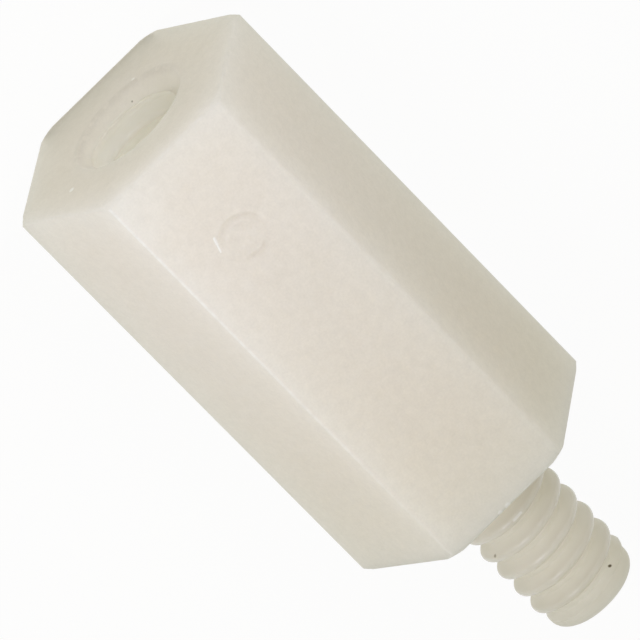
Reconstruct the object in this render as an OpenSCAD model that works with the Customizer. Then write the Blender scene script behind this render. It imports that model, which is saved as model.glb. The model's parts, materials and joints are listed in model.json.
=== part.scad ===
// Male-female hex standoff, moulded in one piece from natural nylon.
// It lies on one of its flats: the axis runs along X, the stud points to +X,
// and the origin is on the axis, in the plane of the shoulder.

/* [Body] */
// Length of the hexagonal body, from the female end to the shoulder
body_length = 12.7; // [10:0.1:40]
// Width of the body across two opposite flats
across_flats = 6.22; // [5.5:0.02:8]
// Radius along the six long edges
edge_radius = 0.09; // [0.05:0.01:0.3]
// How far each end's corner chamfer reaches in from the sharp corner, towards the axis
corner_cut = 0.2; // [0.1:0.02:0.4]
// Angle between a corner chamfer and the end face
corner_cut_angle = 30; // [15:1:45]

/* [Female hole] */
// Minor diameter of the hole's thread
hole_d = 2.26; // [1.9:0.02:2.4]
// Depth of the hole, from the female end to its floor
hole_depth = 7.9; // [4:0.1:9]
// Diameter of the countersink at the hole's mouth
mouth_d = 3.2; // [2.8:0.05:3.8]
// Full angle of that countersink
mouth_angle = 90; // [60:5:120]
// Chamfer around the hole's floor
floor_chamfer = 0.3; // [0.1:0.05:0.6]

/* [Stud] */
// Length of the stud, from the shoulder to its tip
stud_length = 4.65; // [4:0.05:12]
// Diameter of the stud where it has no thread, at its neck and at its tip
plain_d = 2.5; // [2.4:0.02:2.6]
// Length of the plain neck, with the fillet at its foot
neck_length = 0.5; // [0.35:0.05:1]
// Radius of the fillet between the neck and the shoulder
foot_radius = 0.14; // [0.1:0.01:0.2]
// Length of the plain tip, with its rounded rim
tip_length = 0.5; // [0.4:0.05:0.8]
// Radius of the rounded rim at the tip
tip_radius = 0.28; // [0.15:0.01:0.35]

/* [Stud thread] */
// Diameter over the thread's crests
thread_d = 2.7; // [2.64:0.02:2.9]
// Distance from one crest to the next
thread_pitch = 0.635; // [0.6:0.005:0.7]
// Height of the thread above its root
thread_height = 0.32; // [0.25:0.01:0.34]
// Full angle between the thread's two flanks
thread_angle = 60; // [50:1:60]
// Radius of the rounded crest
crest_radius = 0.12; // [0.08:0.01:0.13]
// Distance from the shoulder to the first full crest, on the upper side
first_crest = 1.14; // [0.9:0.01:1.5]

/* [Moulding mark] */
// Distance from the female end to the middle of the round mark on the upper flat
mark_inset = 2.95; // [1.5:0.05:6]
// Diameter of the mark's ring, at the middle of its groove
mark_d = 1.16; // [0.6:0.02:2]
// Width of the ring's groove
mark_width = 0.2; // [0.1:0.02:0.3]
// Depth of the ring's groove
mark_depth = 0.04; // [0.02:0.01:0.06]

/* [Hidden] */
$fn = 96;
nylon = [0.86, 0.84, 0.79];

// Cuts run past the surface, and joined shapes run into each other, by this much
overrun = 0.4;
// Straight steps in each rounded long edge
edge_steps = 4;
// Straight steps in the fillet at the foot of the neck, and in the rounded rim of the tip
arc_steps = 6;
// Straight steps in one turn of the thread
turn_steps = 24;
// Rings of points in one pitch of the thread
pitch_rings = 12;
// Rings of the threaded shank that lie inside the neck, and inside the tip
seat_rings = 2.5;
// How far the thread stays inside the neck and the tip where it runs into them
seat_margin = 0.03;

corner_r = across_flats / sqrt(3);
end_face_r = corner_r - corner_cut;
root_r = thread_d / 2 - thread_height;
plain_r = plain_d / 2;
mouth_depth = (mouth_d - hole_d) / 2 / tan(mouth_angle / 2);
rim_start = stud_length - tip_radius;
tip_start = stud_length - tip_length;
crest_half = crest_radius * cos(thread_angle / 2);
crest_rise = thread_height - crest_radius * (1 - sin(thread_angle / 2));

// Outline of the hexagon, with each corner rounded; one corner lies on +Y
function hexagon_outline() =
    let (round_center_r = corner_r - edge_radius / cos(30))
    [
        for (corner = [0 : 5])
        for (step = [0 : edge_steps])
            let (center_angle = 90 + corner * 60)
            let (angle = center_angle - 30 + step * 60 / edge_steps)
            [
                round_center_r * cos(center_angle) + edge_radius * cos(angle),
                round_center_r * sin(center_angle) + edge_radius * sin(angle)
            ]
    ];

// Half section of the body's ends: full width between two chamfered end faces
function chamfer_section() =
    let (rise = overrun * tan(corner_cut_angle))
    let (outer_r = end_face_r + corner_cut + overrun)
    let (outer_rise = rise + corner_cut * tan(corner_cut_angle))
    [
        [0, -body_length],
        [end_face_r, -body_length],
        [outer_r, -body_length + outer_rise],
        [outer_r, -outer_rise],
        [end_face_r, 0],
        [0, 0]
    ];

// Half section of the hole, measured from the female end
function hole_section() = [
    [0, -overrun],
    [mouth_d / 2 + overrun * tan(mouth_angle / 2), -overrun],
    [hole_d / 2, mouth_depth],
    [hole_d / 2, hole_depth - floor_chamfer],
    [hole_d / 2 - floor_chamfer, hole_depth],
    [0, hole_depth]
];

// Half section of the plain neck, with the fillet at its foot
function neck_section() = [
    [0, -overrun],
    [plain_r + foot_radius, -overrun],
    for (step = [0 : arc_steps])
        let (angle = step * 90 / arc_steps)
        [plain_r + foot_radius * (1 - sin(angle)), foot_radius * (1 - cos(angle))],
    [plain_r, neck_length],
    [0, neck_length]
];

// Half section of the plain tip, with its rounded rim
function tip_section() = [
    [0, tip_start],
    [plain_r, tip_start],
    for (step = [0 : arc_steps])
        let (angle = step * 90 / arc_steps)
        [plain_r - tip_radius * (1 - cos(angle)), rim_start + tip_radius * sin(angle)],
    [0, stud_length]
];

// Height of the thread above its root, at a distance along the axis from the middle of its crest
function thread_rise(offset) =
    offset < crest_half
        ? thread_height - crest_radius + sqrt(pow(crest_radius, 2) - pow(offset, 2))
        : crest_rise - (offset - crest_half) / tan(thread_angle / 2);

// Radius of the threaded shank at an angle, and at a distance from the shoulder;
// towards the neck and the tip the crests come down at 45 degrees
function shank_r(angle, z) =
    let (turns = (z - first_crest) / thread_pitch - (angle - 180) / 360)
    let (offset = abs(turns - round(turns)) * thread_pitch)
    let (neck_limit = plain_r - seat_margin + z - neck_length)
    let (tip_limit = plain_r - seat_margin + tip_start - z)
    max(root_r, min(root_r + thread_rise(offset), neck_limit, tip_limit));

// Threaded part of the stud: rings of points joined into one skin, with a right-handed thread
module threaded_shank() {
    free_rings = round((tip_start - neck_length) / thread_pitch * pitch_rings);
    spacing = (tip_start - neck_length) / free_rings;
    rings = free_rings + 2 * seat_rings;
    points = [
        for (ring = [0 : rings])
        for (step = [0 : turn_steps - 1])
            let (z = neck_length + (ring - seat_rings) * spacing)
            let (angle = step * 360 / turn_steps)
            let (r = shank_r(angle, z))
            [r * cos(angle), r * sin(angle), z]
    ];
    skin = [
        for (ring = [0 : rings - 1])
        for (step = [0 : turn_steps - 1])
            let (next = (step + 1) % turn_steps)
            let (low = ring * turn_steps)
            let (high = low + turn_steps)
            each [[low + step, high + step, high + next], [low + step, high + next, low + next]]
    ];
    first_end = [for (step = [0 : turn_steps - 1]) step];
    last_end = [for (step = [turn_steps - 1 : -1 : 0]) rings * turn_steps + step];
    polyhedron(points, concat(skin, [first_end, last_end]));
}

module hex_body() {
    intersection() {
        translate([0, 0, -body_length - overrun])
            linear_extrude(body_length + 2 * overrun)
                polygon(hexagon_outline());
        rotate_extrude()
            polygon(chamfer_section());
    }
}

module hole() {
    translate([0, 0, -body_length])
        rotate_extrude()
            polygon(hole_section());
}

// Half-round groove of the ring that the mould's pin left on the upper flat
module moulding_mark() {
    groove_r = (pow(mark_width / 2, 2) + pow(mark_depth, 2)) / (2 * mark_depth);
    translate([-across_flats / 2, 0, mark_inset - body_length])
        rotate([0, -90, 0])
            rotate_extrude()
                translate([mark_d / 2, groove_r - mark_depth])
                    circle(groove_r);
}

module hex_standoff() {
    color(nylon)
        rotate([0, 90, 0]) {
            difference() {
                hex_body();
                hole();
                moulding_mark();
            }
            rotate_extrude()
                polygon(neck_section());
            rotate_extrude()
                polygon(tip_section());
            threaded_shank();
        }
}

hex_standoff();
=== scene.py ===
import json
import math
import bmesh
import bpy
from mathutils import Matrix, Vector, noise


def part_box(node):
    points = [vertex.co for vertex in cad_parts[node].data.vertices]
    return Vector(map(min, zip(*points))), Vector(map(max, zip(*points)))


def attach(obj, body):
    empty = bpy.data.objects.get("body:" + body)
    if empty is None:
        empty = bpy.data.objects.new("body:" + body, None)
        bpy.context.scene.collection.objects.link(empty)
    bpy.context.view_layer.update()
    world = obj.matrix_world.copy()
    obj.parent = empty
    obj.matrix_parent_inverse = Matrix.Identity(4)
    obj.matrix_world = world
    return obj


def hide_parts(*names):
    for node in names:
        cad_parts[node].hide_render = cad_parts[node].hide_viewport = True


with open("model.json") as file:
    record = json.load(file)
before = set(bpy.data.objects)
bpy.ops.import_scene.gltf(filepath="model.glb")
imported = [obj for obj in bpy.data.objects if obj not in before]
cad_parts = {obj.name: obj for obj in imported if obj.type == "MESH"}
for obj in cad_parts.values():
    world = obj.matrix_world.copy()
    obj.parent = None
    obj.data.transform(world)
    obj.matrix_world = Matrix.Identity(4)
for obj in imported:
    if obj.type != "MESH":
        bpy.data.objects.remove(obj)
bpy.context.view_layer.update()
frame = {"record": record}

mm = 0.001
standoffLow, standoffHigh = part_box("hex_standoff")
mountDims = {mount["name"]: mount["dims"] for mount in frame["record"]["mounts"]}
print("frame loaded, box in mm:", [round(v / mm, 3) for v in (*standoffLow, *standoffHigh)])


# Standoff: lengths in millimetres, angles in degrees; the main sizes are read from the frame
standoffSizes = {
    "bodyLength": -standoffLow.x / mm,
    "studLength": standoffHigh.x / mm,
    "acrossFlats": (standoffHigh.z - standoffLow.z) / mm,
    "edgeRadius": 0.09,         # along the six long edges
    "endEdgeRadius": 0.09,      # round both ends
    "cornerCut": 0.2,           # chamfer on the corners of both ends, towards the axis
    "cornerCutAngle": 30,
    "holeRadius": mountDims["female_thread"]["r_mm"],
    "holeDepth": 7.9,
    "floorChamfer": 0.3,
    "mouthRadius": 1.6,         # of the 45 degree cone at the hole's mouth
    "mouthEdgeRadius": 0.15,
    "innerThreadHeight": 0.3,
    "plainRadius": mountDims["stud"]["r_mm"],
    "neckLength": 0.5,
    "footRadius": 0.14,
    "tipLength": 0.5,
    "tipRadius": 0.28,
    "grooveEnd": 0.35,          # from the tip to where the last groove has run out
    "threadRadius": 1.35,
    "threadHeight": 0.32,
    "threadPitch": 0.635,
    "threadAngle": 60,
    "crestRadius": 0.12,
    "firstCrest": 1.14,         # from the shoulder, on the upper side
    "studRings": 30,            # rings in one pitch of the thread
    "holeRings": 16,
    "arcSteps": 6,
    "edgeRing": 1.15,           # a ring past the rounded end edge, in its radii from the end
    "chamferRings": (1, 1.3, 2),    # rings at the corner chamfer, in its depths from the end
    "tipRing": 0.5,             # a ring on the tip's flat, as a share of its radius
    "mergeReach": 1e-5,         # points closer than this become one
    "sharpAngle": 40,           # edges with a greater angle are shaded sharp
}
# Angles of the skin's long edges, from a corner to the middle of a flat; closest where it is round
cornerAngles = [0, 0.24, 0.48, 0.72, 2.0, 4.3, 6.55, 10.5, 14.4, 18.3, 22.2, 26.1, 30]

# Round moulding mark on the upper flat, and the scratch beside it; lengths in millimetres
markPlace = {
    "inset": 2.95,              # from the female end
    "radius": 0.54,
    "width": 0.2,
    "depth": 0.06,
    # the ring is in two arcs: the middle of each in degrees from +X, and the angle from there to its end
    "arcs": [(165, 90), (0, 40)],
    "shallow": 0.25,            # share of the depth between the arcs
    "unevenness": 0.5,          # how unevenly the ring was pressed
    "lumps": 4,                 # in a millimetre
    "innerRadius": 0.5,         # the broken surface inside the ring
    "innerDepth": 0.02,
    "innerSlope": 3,            # how steeply it deepens from its rim
    "innerRaise": 0.3,          # added to the noise, which breaks it where the sum is above 0
    "innerLumps": 7,
    "scratchStart": (-10.25, -0.519),
    "scratchEnd": (-9.89, -0.63),
    "scratchWidth": 0.07,
    "scratchDepth": 0.015,
    "reach": 1.0,               # half the side of the patch of finer mesh around the mark
    "longCuts": 9,              # in the patch's long edges
    "patchCuts": 7,             # then in all its edges
    "faceReach": 0.01,          # a face whose middle is this close to the flat's plane lies on it
    "pointReach": 1e-4,         # and a point
}


def hexRadius(angle, inset):
    # from the axis to the hexagon's outline, its flats moved in by inset; corners at 0, 60, ... degrees
    size = standoffSizes
    flat = size["acrossFlats"] / 2 - inset
    halfSide = math.radians(30)
    turn = math.radians(abs((angle + 30) % 60 - 30))    # away from the nearest corner
    onFlat = flat / math.cos(halfSide - turn)
    arc = size["edgeRadius"]
    arcCentre = (flat - arc) / math.cos(halfSide)
    if arcCentre * math.sin(turn) < arc * math.sin(halfSide) * math.cos(turn):
        reach = arc ** 2 - (arcCentre * math.sin(turn)) ** 2
        if reach > 0:
            return min(onFlat, arcCentre * math.cos(turn) + math.sqrt(reach))
    return onFlat


def bodyRadius(angle, depth):
    # body's skin at a distance from its nearer end: rounded at the end's edge, turned off at the corners
    size = standoffSizes
    arc = size["endEdgeRadius"]
    inset = arc - math.sqrt(arc ** 2 - (arc - depth) ** 2) if depth < arc else 0
    cornerRadius = size["acrossFlats"] / math.sqrt(3)
    rise = depth / math.tan(math.radians(size["cornerCutAngle"]))
    return min(hexRadius(angle, inset), cornerRadius - size["cornerCut"] + rise)


def threadRise(x, angle, height):
    # height of the thread above its root; the crest on the upper side (90 degrees) lies at firstCrest
    size = standoffSizes
    flank = math.radians(size["threadAngle"] / 2)
    crest = size["crestRadius"]
    turns = (x - size["firstCrest"]) / size["threadPitch"] - (angle - 90) / 360
    offset = abs(turns - round(turns)) * size["threadPitch"]
    if offset < crest * math.cos(flank):
        return height - crest + math.sqrt(crest ** 2 - offset ** 2)
    crestRise = height - crest * (1 - math.sin(flank))
    return max(0, crestRise - (offset - crest * math.cos(flank)) / math.tan(flank))


def studRadius(x, angle, plain):
    # stud's skin: the crests come down at 45 degrees to the plain neck and tip,
    # and the last groove runs out at the tip
    size = standoffSizes
    neck, tip = size["neckLength"], size["studLength"] - size["tipLength"]
    grooveEnd = size["studLength"] - size["grooveEnd"]
    flank = math.radians(size["threadAngle"] / 2)
    root = size["threadRadius"] - size["threadHeight"]
    highest = plain + max(0, min(x - neck, tip - x))
    lowest = plain - max(0, min(x - neck, grooveEnd - x)) / math.tan(flank)
    return max(lowest, min(highest, root + threadRise(x, angle, size["threadHeight"])))


def holeRadius(x, angle, plain):
    # hole's skin: the thread's grooves are cut outwards from the bore, and fade out above the floor
    size = standoffSizes
    above = size["holeDepth"] - 2 * size["floorChamfer"] - (x + size["bodyLength"])
    fade = min(1, max(0, above / size["threadPitch"]))
    groove = size["innerThreadHeight"] - threadRise(x, angle, size["innerThreadHeight"])
    return max(plain, size["holeRadius"] + groove * fade)


def sectionPoints():
    # half section from the hole's floor over the body to the stud's tip, as points (x, r, zone)
    size = standoffSizes
    length, stud = size["bodyLength"], size["studLength"]
    hole, mouth, plain = size["holeRadius"], size["mouthRadius"], size["plainRadius"]
    steps = range(size["arcSteps"] + 1)
    arcs = [math.radians(90 * step / size["arcSteps"]) for step in steps]

    def rings(start, end, inPitch):
        count = math.ceil((end - start) / size["threadPitch"] * inPitch)
        return [start + (end - start) * i / count for i in range(count + 1)]

    # hole, from its floor to the soft edge of its mouth
    floorX, mouthX = -length + size["holeDepth"], -length + mouth - hole
    points = [(floorX, 0, "floor"), (floorX, hole - size["floorChamfer"], "floor")]
    bore = rings(mouthX, floorX - size["floorChamfer"], size["holeRings"])
    points += [(x, hole, "hole") for x in reversed(bore)]
    edge, tangent = size["mouthEdgeRadius"], math.tan(math.radians(45 / 2))
    softAngles = [math.radians(45 - 45 * step / size["arcSteps"]) for step in steps]
    softEdge = [(edge * (1 - math.cos(a)), edge * (tangent - math.sin(a))) for a in softAngles]
    cone = rings(-length + softEdge[0][0], mouthX, size["holeRings"])
    points += [(x, mouth - (x + length), "hole") for x in reversed(cone[1:-1])]
    points += [(-length + depth, mouth + out, "end") for depth, out in softEdge]

    # body, with rings at both ends and on either side of the mark
    endArc, corner = size["endEdgeRadius"], size["acrossFlats"] / math.sqrt(3)
    chamfer = size["cornerCut"] * math.tan(math.radians(size["cornerCutAngle"]))
    depths = [endArc * (1 - math.cos(a)) for a in arcs] + [endArc * size["edgeRing"]]
    depths += [chamfer * share for share in size["chamferRings"]]
    inset, reach = markPlace["inset"], markPlace["reach"]
    points += [(-length + depth, corner, "body") for depth in (*depths, inset - reach, inset + reach)]
    points += [(-depth, corner, "body") for depth in reversed(depths)]

    # stud: filleted foot, thread, rounded tip
    foot, rim = size["footRadius"], size["tipRadius"]
    points += [(foot * (1 - math.cos(a)), plain + foot * (1 - math.sin(a)), "neck") for a in arcs]
    points += [(x, plain, "stud") for x in rings(size["neckLength"], stud - rim, size["studRings"])]
    flat = plain - rim
    points += [(stud - rim + rim * math.sin(a), flat + rim * math.cos(a), "tip") for a in arcs[1:]]
    points += [(stud, flat * size["tipRing"], "tip"), (stud, 0, "tip")]
    return points


def markDepth(x, y):
    # depth of the mark and the scratch below the flat
    mark = markPlace
    centreX = mark["inset"] - standoffSizes["bodyLength"]
    lumps, innerLumps = mark["lumps"], mark["innerLumps"]
    depth = 0
    away = math.hypot(x - centreX, y)
    gap = abs(away - mark["radius"]) / (mark["width"] / 2)
    if gap < 1:
        side = math.degrees(math.atan2(y, x - centreX))
        strength = mark["shallow"]
        for middle, reach in mark["arcs"]:
            turn = abs((side - middle + 180) % 360 - 180)
            strength = max(strength, min(1, 2 - 2 * turn / reach))
        uneven = 1 + mark["unevenness"] * noise.noise((x * lumps, y * lumps, 0))
        depth += mark["depth"] * strength * uneven * (1 - gap ** 2) ** 2
    inside = min(1, mark["innerSlope"] * (1 - away / mark["innerRadius"]))
    if inside > 0:
        broken = mark["innerRaise"] + noise.noise((x * innerLumps, y * innerLumps, 3))
        depth += mark["innerDepth"] * inside * max(0, broken)
    start, end, point = Vector(mark["scratchStart"]), Vector(mark["scratchEnd"]), Vector((x, y))
    share = min(1, max(0, (point - start).dot(end - start) / (end - start).length_squared))
    gap = (point - start.lerp(end, share)).length / (mark["scratchWidth"] / 2)
    if gap < 1:
        depth += mark["scratchDepth"] * (1 - gap ** 2) ** 2
    return depth


def cutMark(bm):
    size, mark = standoffSizes, markPlace
    centreX = mark["inset"] - size["bodyLength"]
    top = size["acrossFlats"] / 2
    reach = mark["reach"]

    def onPatch(face):
        centre = face.calc_center_median()
        onFlat = centre.z > top - mark["faceReach"]
        return onFlat and abs(centre.x - centreX) < reach and abs(centre.y) < reach

    def patchEdges():
        return [edge for edge in bm.edges if any(onPatch(face) for face in edge.link_faces)]

    longEdges = [e for e in patchEdges() if abs(e.verts[0].co.x - e.verts[1].co.x) > reach]
    bmesh.ops.subdivide_edges(bm, edges=longEdges, cuts=mark["longCuts"], use_grid_fill=True)
    bmesh.ops.subdivide_edges(bm, edges=patchEdges(), cuts=mark["patchCuts"], use_grid_fill=True)
    for vert in bm.verts:
        if vert.co.z > top - mark["pointReach"]:
            vert.co.z -= markDepth(vert.co.x, vert.co.y)
    print("moulding mark cut")


def buildStandoff():
    size = standoffSizes
    bm = bmesh.new()
    zone = bm.verts.layers.string.new("zone")
    chain = []
    for x, r, name in sectionPoints():
        vert = bm.verts.new((x, r, 0))
        vert[zone] = name.encode()
        chain.append(vert)
    last = chain + [bm.edges.new(pair) for pair in zip(chain, chain[1:])]
    halfSide = [b - a for a, b in zip(cornerAngles, cornerAngles[1:])]
    for step in (halfSide + halfSide[::-1]) * 6:
        turned = bmesh.ops.spin(
            bm, geom=last, cent=(0, 0, 0), axis=(1, 0, 0), angle=math.radians(step), steps=1)
        last = turned["geom_last"]
    bmesh.ops.remove_doubles(bm, verts=bm.verts, dist=size["mergeReach"])
    bmesh.ops.recalc_face_normals(bm, faces=bm.faces)
    print("turned blank:", len(bm.verts), "points")

    for vert in bm.verts:
        x, y, z = vert.co
        r = math.hypot(y, z)
        if r < size["mergeReach"]:
            continue
        angle = math.degrees(math.atan2(z, y))
        name = vert[zone].decode()
        if name == "body":
            r = bodyRadius(angle, min(-x, x + size["bodyLength"]))
        elif name == "stud":
            r = studRadius(x, angle, r)
        elif name == "hole":
            r = holeRadius(x, angle, r)
        vert.co = x, r * math.cos(math.radians(angle)), r * math.sin(math.radians(angle))
    print("hexagon and threads cut")

    cutMark(bm)
    bmesh.ops.scale(bm, vec=(mm, mm, mm), verts=bm.verts)
    mesh = bpy.data.meshes.new("standoff")
    bm.to_mesh(mesh)
    bm.free()
    mesh.polygons.foreach_set("use_smooth", [True] * len(mesh.polygons))
    mesh.set_sharp_from_angle(angle=math.radians(size["sharpAngle"]))
    piece = bpy.data.objects.new("standoff", mesh)
    bpy.context.scene.collection.objects.link(piece)
    weighted = piece.modifiers.new("weighted", "WEIGHTED_NORMAL")
    weighted.keep_sharp = True
    return piece


class Wire:
    # a node's output that takes part in arithmetic
    def __init__(self, bench, socket):
        self.bench, self.socket = bench, socket

    def math(self, operation, *values):
        return self.bench.node("ShaderNodeMath", {"operation": operation}, dict(enumerate(values)))

    def __add__(self, other):
        return self.math("ADD", self, other)

    def __radd__(self, other):
        return self.math("ADD", other, self)

    def __sub__(self, other):
        return self.math("SUBTRACT", self, other)

    def __rsub__(self, other):
        return self.math("SUBTRACT", other, self)

    def __mul__(self, other):
        return self.math("MULTIPLY", self, other)

    def __rmul__(self, other):
        return self.math("MULTIPLY", other, self)

    def __abs__(self):
        return self.math("ABSOLUTE", self)

    def most(self, other):
        return self.math("MAXIMUM", self, other)


class Bench:
    # one node tree, of a material or of the world
    def __init__(self, owner):
        owner.use_nodes = True
        self.tree = owner.node_tree
        self.tree.nodes.clear()

    def node(self, kind, settings, sockets, output=0):
        # output is the one that is wanted, or a tuple of several
        made = self.tree.nodes.new(kind)
        for name, value in settings.items():
            setattr(made, name, value)
        for name, value in sockets.items():
            if isinstance(value, Wire):
                self.tree.links.new(value.socket, made.inputs[name])
            else:
                made.inputs[name].default_value = value
        if isinstance(output, tuple):
            return [Wire(self, made.outputs[name]) for name in output]
        return Wire(self, made.outputs[output]) if made.outputs else made

    def vector(self, operation, *values, output=0):
        sockets = dict(enumerate(values))
        return self.node("ShaderNodeVectorMath", {"operation": operation}, sockets, output)

    def scaled(self, vector, share):
        return self.node("ShaderNodeVectorMath", {"operation": "SCALE"}, {0: vector, "Scale": share})

    def blend(self, share, colour, other):
        return self.node("ShaderNodeMix", {"data_type": "RGBA"}, {0: share, 6: colour, 7: other}, 2)

    def fade(self, value, start, end):
        # 0 where the value is start, 1 where it is end
        return self.node("ShaderNodeMapRange", {}, {"Value": value, "From Min": start, "From Max": end})

    def span(self, value, ends, origin=0):
        # the same for a length, with both ends in millimetres from origin
        return self.fade(value, *((origin + end) * mm for end in ends))

    def clouds(self, place, size, detail):
        sockets = {"Vector": place, "Scale": 1 / (size * mm), "Detail": detail}
        return self.node("ShaderNodeTexNoise", {}, sockets)

    def spot(self, place, point, reach, core=0.5):
        # 1 in the core of a spot, 0 outside it
        gap = self.vector("DISTANCE", place, tuple(v * mm for v in point), output="Value")
        return self.span(gap, (reach, reach * core))

    def stroke(self, place, start, end, reach, core=0.4):
        # the same along a straight line
        start, end = Vector(start) * mm, Vector(end) * mm
        along = end - start
        away = self.vector("SUBTRACT", place, start)
        share = self.vector("DOT_PRODUCT", away, along / along.length_squared, output="Value")
        foot = self.scaled(along, self.fade(share, 0, 1))
        gap = self.vector("DISTANCE", away, foot, output="Value")
        return self.span(gap, (reach, reach * core))


# Natural nylon: lengths in millimetres; a pair named Span is where something starts and where it is full
nylonFinish = {
    # paler at the hollow end, darker towards the shoulder and the stud's tip: partly the nylon's own
    # tone, partly painted shade
    "milky": (0.78, 0.73, 0.665, 1),        # at the hollow end
    "warm": (0.72, 0.682, 0.593, 1),        # at the shoulder
    "deep": (0.53, 0.50, 0.41, 1),          # at the stud's tip
    "inside": (0.97, 0.93, 0.84, 1),        # painted light: paler in the hole and the grooves, for the light that comes through the walls
    "rubbed": (0.95, 0.93, 0.89, 1),        # scratch and chips, and the painted highlights on the long edge, the shoulder, the first crest and a corner of the flat
    "grit": (0.10, 0.08, 0.05, 1),
    "roughness": 0.45,
    "scatterRadius": (1.0, 0.97, 0.92),
    "scatterScale": 4.5,
    "warmSpan": (-9, 0.5),
    "deepStart": 0.4,
    "cloudSize": 3,
    "cloudDetail": 3,
    "cloudShare": 0.25,                     # how far clouds shift the warmth
    "studSpan": (-0.1, 0.3),
    "topSpan": (2.9, 3.0),
    # painted light: the hole and the stud's grooves paler, and the hole's deeper walls glowing, for the
    # light that comes through the hole's walls
    "wallSpan": (1.75, 1.65),
    "mouthSpan": (0.05, 0.6),               # from the female end
    "holeEndSpan": (-4, -5),
    "grooveSpan": (1.3, 1.05),
    "grooveShare": 0.45,
    "glow": (1, 0.96, 0.86, 1),
    "glowStrength": 0.075,
    "glowSpan": (0.2, 1.4),                 # from the female end
    # the mould's grain, and the sheen on it and on top of both threads' crests
    "grainSize": 0.06,
    "mottleSize": 0.2,
    "grainDetail": 2,
    "grainShade": 0.11,                     # how much it shows in the colour
    "bumpStrength": 0.1,
    "bumpHeight": 0.01,
    "bodySheen": 0.16,
    "sheenGrain": 0.15,
    "crestSheen": 0.8,
    "sheenRoughness": 0.2,
    "studCrestSpan": (1.32, 1.34),
    "holeCrestSpan": (1.17, 1.14),
    # painted highlight along the long edge on top, strongest at the female end
    "edgeAngle": 120,                       # from +Y
    "edgeInset": 0.015,
    "edgeEnds": (0.1, 0.2),                 # short of the female end and of the shoulder
    "edgeReach": 0.05,
    "edgeSpan": (-1, -11),
    "edgeShare": 0.9,
    # the scratch, wider over its first part
    "scratchReach": 0.03,
    "scratchWide": 0.4,
    "scratchWideReach": 0.045,
    "scratchShare": 0.85,
    # spots, middle and reach: chips on the end face and the mouth, then painted glints on the shoulder's
    # edge
    "chips": [
        ((-12.70, -2.13, 0.76), 0.09), ((-12.66, 0.71, -1.57), 0.08), ((-12.45, 1.13, 0.75), 0.09),
        ((-0.05, 0.0, 3.10), 0.10), ((-0.05, -0.25, 3.10), 0.08)],
    "grits": [
        ((1.74, -1.12, 0.70), 0.08), ((4.03, 0.71, 0.84), 0.06), ((-12.40, 0.33, -1.30), 0.045)],
    "polished": ((-11.95, -1.35, 3.1), 1.0),    # painted reflection: a pale patch at a corner of the flat
    "polishedShare": 0.1,
    # painted highlight on the first crest: start, end and reach
    "streak": ((1.13, 0.08, 1.35), (1.15, -0.16, 1.34), 0.05),
    "streakShare": 0.8,
    # painted shade in the mark's pressed-in arcs and a painted highlight on its rim: radius, middle in
    # degrees from +X, angle from there to the end, change of shade
    "markArcs": [
        (0.53, 165, 90, -0.07), (0.54, 0, 40, -0.07), (0.68, 125, 60, 0.04),
        (0.35, 166, 30, -0.05), (0.3, 250, 40, -0.03)],
    "arcSpan": (0.1, 0.02),
    "arcPatches": (0.3, 0.6),               # of the mottle, where an arc starts to show and is full
    # painted shade on the soft edge of the hole's mouth, on its lower side
    "mouthShade": -0.13,
    "mouthEdgeSpan": (0.16, 0.03),
    "mouthDepthSpan": (0.2, 0.1),           # from the female end
    "mouthSideSpan": (0.8, -0.8),
    "mouthPatches": (0.3, 0.55),
}


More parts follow.
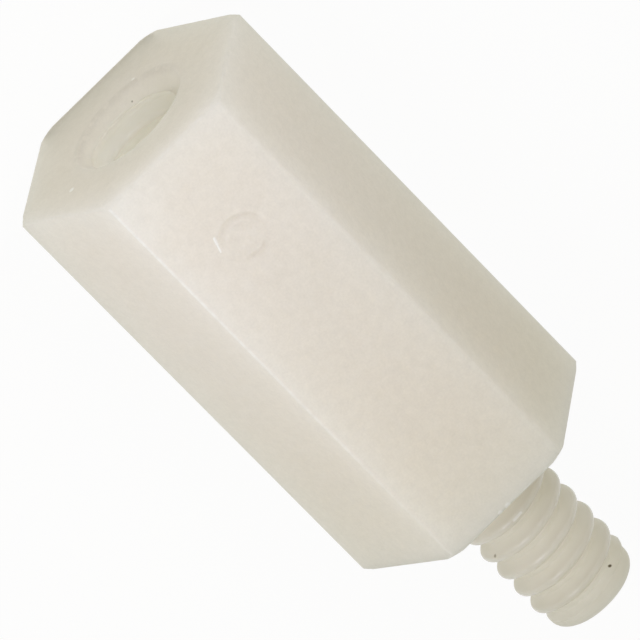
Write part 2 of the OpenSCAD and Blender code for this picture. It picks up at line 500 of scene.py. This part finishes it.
def naturalNylon():
    finish, size, mark = nylonFinish, standoffSizes, markPlace
    material = bpy.data.materials.new("natural_nylon")
    bench = Bench(material)
    place = bench.node("ShaderNodeTexCoord", {}, {}, "Object")
    along, height = bench.node("ShaderNodeSeparateXYZ", {}, {"Vector": place}, ("X", "Z"))
    across = bench.vector("LENGTH", bench.vector("MULTIPLY", place, (0, 1, 1)), output="Value")
    plan = bench.vector("MULTIPLY", place, (1, 1, 0))
    cloud = bench.clouds(place, finish["cloudSize"], finish["cloudDetail"])
    grain = bench.clouds(place, finish["grainSize"], finish["grainDetail"])
    mottle = bench.clouds(place, finish["mottleSize"], finish["grainDetail"])

    mouth = -size["bodyLength"]
    onTop = bench.span(height, finish["topSpan"])
    onStud = bench.span(along, finish["studSpan"])
    # painted light in the stud's grooves
    paintedGrooveLight = finish["grooveShare"] * onStud * bench.span(across, finish["grooveSpan"])
    inHole = bench.span(across, finish["wallSpan"]) * bench.span(along, finish["mouthSpan"], mouth)
    inHole = inHole * bench.span(along, finish["holeEndSpan"])
    # painted light: the deeper part of the hole glows
    glowing = inHole * bench.span(along, finish["glowSpan"], mouth)

    # milky to warm along the body and deeper along the stud: partly the nylon's own tone, partly painted
    # shade of the light falling off from the hollow end; painted light makes the hole and the grooves
    # pale
    warmth = bench.span(along, finish["warmSpan"]) + finish["cloudShare"] * (cloud - 0.5)
    colour = bench.blend(warmth, finish["milky"], finish["warm"])
    towardsTip = bench.span(along, (finish["deepStart"], size["studLength"]))
    colour = bench.blend(towardsTip, colour, finish["deep"])
    # painted light: the hole and the stud's grooves paler
    colour = bench.blend(inHole.most(paintedGrooveLight), colour, finish["inside"])

    # the scratch and chips, painted highlights on the long edge, the shoulder's edge, the first crest
    # and a corner of the flat, and specks of grit
    corner = size["acrossFlats"] / math.sqrt(3) - finish["edgeInset"]
    edgeAngle = math.radians(finish["edgeAngle"])
    edgeY, edgeZ = corner * math.cos(edgeAngle), corner * math.sin(edgeAngle)
    edgeStart, edgeEnd = mouth + finish["edgeEnds"][0], -finish["edgeEnds"][1]
    # painted highlight along the long edge
    rubbed = bench.stroke(
        place, (edgeStart, edgeY, edgeZ), (edgeEnd, edgeY, edgeZ), finish["edgeReach"])
    rubbed = rubbed * bench.span(along, finish["edgeSpan"]) * (finish["edgeShare"] * mottle)
    start, end = (*mark["scratchStart"], 0), (*mark["scratchEnd"], 0)
    wideEnd = Vector(start).lerp(end, finish["scratchWide"])
    scratch = bench.stroke(plan, start, end, finish["scratchReach"])
    scratch = scratch.most(bench.stroke(plan, start, wideEnd, finish["scratchWideReach"]))
    rubbed = rubbed.most(finish["scratchShare"] * onTop * scratch)
    # chips, and painted glints on the shoulder's edge
    for middle, reach in finish["chips"]:
        rubbed = rubbed.most(bench.spot(place, middle, reach))
    # painted highlight on the first crest
    rubbed = rubbed.most(finish["streakShare"] * bench.stroke(place, *finish["streak"]))
    # painted reflection at a corner of the flat
    rubbed = rubbed.most(finish["polishedShare"] * bench.spot(place, *finish["polished"]))
    colour = bench.blend(rubbed, colour, finish["rubbed"])
    for middle, reach in finish["grits"]:
        colour = bench.blend(bench.spot(place, middle, reach), colour, finish["grit"])

    # painted shade where the mark is pressed in and a painted highlight on its rim, and painted shade on
    # the edge of the hole's mouth
    away = bench.vector("SUBTRACT", plan, ((mouth + mark["inset"]) * mm, 0, 0))
    distance = bench.vector("LENGTH", away, output="Value")
    way = bench.vector("NORMALIZE", away)
    patchy = onTop * bench.fade(mottle, *finish["arcPatches"])
    shade = 1
    for radius, middle, reach, change in finish["markArcs"]:
        middle, reach = math.radians(middle), math.radians(reach)
        towards = (math.cos(middle), math.sin(middle), 0)
        onRing = bench.span(abs(distance - radius * mm), finish["arcSpan"])
        swing = bench.vector("DOT_PRODUCT", way, towards, output="Value")
        onArc = bench.fade(swing, math.cos(reach), math.cos(reach / 2))
        shade = onRing * onArc * patchy * change + shade
    # painted shade on the lower side of the mouth's edge
    onMouth = bench.span(abs(across - size["mouthRadius"] * mm), finish["mouthEdgeSpan"])
    onMouth = onMouth * bench.span(along, finish["mouthDepthSpan"], mouth)
    onMouth = onMouth * bench.span(height, finish["mouthSideSpan"])
    onMouth = onMouth * bench.fade(mottle, *finish["mouthPatches"])
    shade = onMouth * finish["mouthShade"] + shade

    # grain on the body alone, sheen on the body and the crests
    onBody = 1 - onStud.most(inHole)
    texture = (grain + mottle - 1) * onBody
    colour = bench.scaled(colour, shade * (1 + finish["grainShade"] * texture))
    onCrest = onStud * bench.span(across, finish["studCrestSpan"])
    onCrest = onCrest + inHole * bench.span(across, finish["holeCrestSpan"])
    sheen = (finish["bodySheen"] + finish["sheenGrain"] * texture) * onBody
    bump = bench.node("ShaderNodeBump", {}, {
        "Strength": finish["bumpStrength"], "Distance": finish["bumpHeight"] * mm, "Height": texture})
    shader = bench.node("ShaderNodeBsdfPrincipled", {}, {
        "Base Color": colour,
        "Roughness": finish["roughness"],
        "Specular IOR Level": 0,
        "Coat Weight": sheen + finish["crestSheen"] * onCrest,
        "Coat Roughness": finish["sheenRoughness"],
        "Subsurface Weight": 1,
        "Subsurface Radius": finish["scatterRadius"],
        "Subsurface Scale": finish["scatterScale"] * mm,
        "Emission Color": bench.blend(glowing, (0, 0, 0, 1), finish["glow"]),
        "Emission Strength": finish["glowStrength"],
        "Normal": bump,
    })
    bench.node("ShaderNodeOutputMaterial", {}, {"Surface": shader})
    return material


standoff = buildStandoff()
standoff.data.materials.append(naturalNylon())
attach(standoff, "root")
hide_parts("hex_standoff")
print("standoff dressed")


# Stage: pale floor, soft light, camera where the photograph was taken from; lengths in metres
stageSetup = {
    "white": (1, 1, 1, 1),
    "floorSide": 1.2,
    "floorColour": (0.72, 0.71, 0.63, 1),
    "floorGlow": 0.28,          # share of its own light in the floor
    "floorWarmth": (1, 0.97, 0.82, 1),
    "floorWhite": 0.95,         # the share where the camera sees it, and sees it white
    "worldStrength": 0.44,
    "worldColour": (1, 0.98, 0.85, 1),
    "lampColour": (1, 1, 1.12),
    "lamps": [
        {"name": "key", "place": (-0.0145, -0.0255, 0.0367), "side": 0.02, "power": 0.0074},
        {"name": "side", "place": (-0.025, 0.015, 0.028), "side": 0.016, "power": 0.0032},
        {"name": "fill", "place": (0.025, 0.02, 0.022), "side": 0.016, "power": 0.0006},
    ],
}
cameraSetup = {
    "place": (-98.931 * mm, 2.012 * mm, 217.388 * mm),
    "right": (0.64453, 0.71539, 0.26983),
    "up": (-0.65485, 0.69867, -0.28814),
    "view": (0.39465, -0.00902, -0.91879),
    "focusPixels": 9921.1,
    "imagePixels": 640,
    "sensor": 36,               # in millimetres, as the lens is
    "clipStart": 1 * mm,
}


def seenByCamera(bench):
    # 1 for a ray that shows the background, also by way of gloss or glass
    rays = ("Is Camera Ray", "Is Glossy Ray", "Is Transmission Ray")
    camera, glossy, through = bench.node("ShaderNodeLightPath", {}, {}, rays)
    return (camera + glossy).most(through)


def buildFloor():
    setup = stageSetup
    bm = bmesh.new()
    bmesh.ops.create_grid(bm, x_segments=1, y_segments=1, size=setup["floorSide"] / 2)
    bmesh.ops.translate(bm, vec=(0, 0, standoffLow.z), verts=bm.verts)
    mesh = bpy.data.meshes.new("floor")
    bm.to_mesh(mesh)
    bm.free()
    floor = bpy.data.objects.new("floor", mesh)
    bpy.context.scene.collection.objects.link(floor)
    material = bpy.data.materials.new("pale_floor")
    bench = Bench(material)
    seen = seenByCamera(bench)
    matt = bench.node("ShaderNodeBsdfDiffuse", {}, {"Color": setup["floorColour"]})
    light = bench.blend(seen, setup["floorWarmth"], setup["white"])
    glow = bench.node("ShaderNodeEmission", {}, {"Color": light, "Strength": 1})
    share = setup["floorGlow"] + seen * (setup["floorWhite"] - setup["floorGlow"])
    mixed = bench.node("ShaderNodeMixShader", {}, {0: share, 1: matt, 2: glow})
    bench.node("ShaderNodeOutputMaterial", {}, {"Surface": mixed})
    floor.data.materials.append(material)


def buildWorld():
    setup = stageSetup
    world = bpy.data.worlds.new("studio")
    bpy.context.scene.world = world
    bench = Bench(world)
    light = bench.node("ShaderNodeBackground", {}, {
        "Color": setup["worldColour"], "Strength": setup["worldStrength"]})
    white = bench.node("ShaderNodeBackground", {}, {"Color": setup["white"], "Strength": 1})
    mixed = bench.node("ShaderNodeMixShader", {}, {0: seenByCamera(bench), 1: light, 2: white})
    bench.node("ShaderNodeOutputWorld", {}, {"Surface": mixed})


def buildLamps():
    for setup in stageSetup["lamps"]:
        lamp = bpy.data.lights.new(setup["name"], "AREA")
        lamp.shape = "DISK"
        lamp.size = setup["side"]
        lamp.energy = setup["power"]
        lamp.color = stageSetup["lampColour"]
        holder = bpy.data.objects.new(setup["name"], lamp)
        holder.location = setup["place"]
        holder.rotation_euler = (-Vector(setup["place"])).to_track_quat("-Z", "Y").to_euler()
        holder.visible_camera = False
        bpy.context.scene.collection.objects.link(holder)


def buildCamera():
    setup = cameraSetup
    camera = bpy.data.cameras.new("camera")
    camera.sensor_width = setup["sensor"]
    camera.lens = setup["focusPixels"] / setup["imagePixels"] * setup["sensor"]
    camera.clip_start = setup["clipStart"]
    holder = bpy.data.objects.new("camera", camera)
    turn = Matrix((setup["right"], setup["up"], -Vector(setup["view"]))).transposed()
    holder.matrix_world = Matrix.Translation(setup["place"]) @ turn.to_4x4()
    bpy.context.scene.collection.objects.link(holder)
    bpy.context.scene.camera = holder


buildFloor()
buildWorld()
buildLamps()
buildCamera()
bpy.context.scene.view_settings.view_transform = "Standard"
print("stage set")
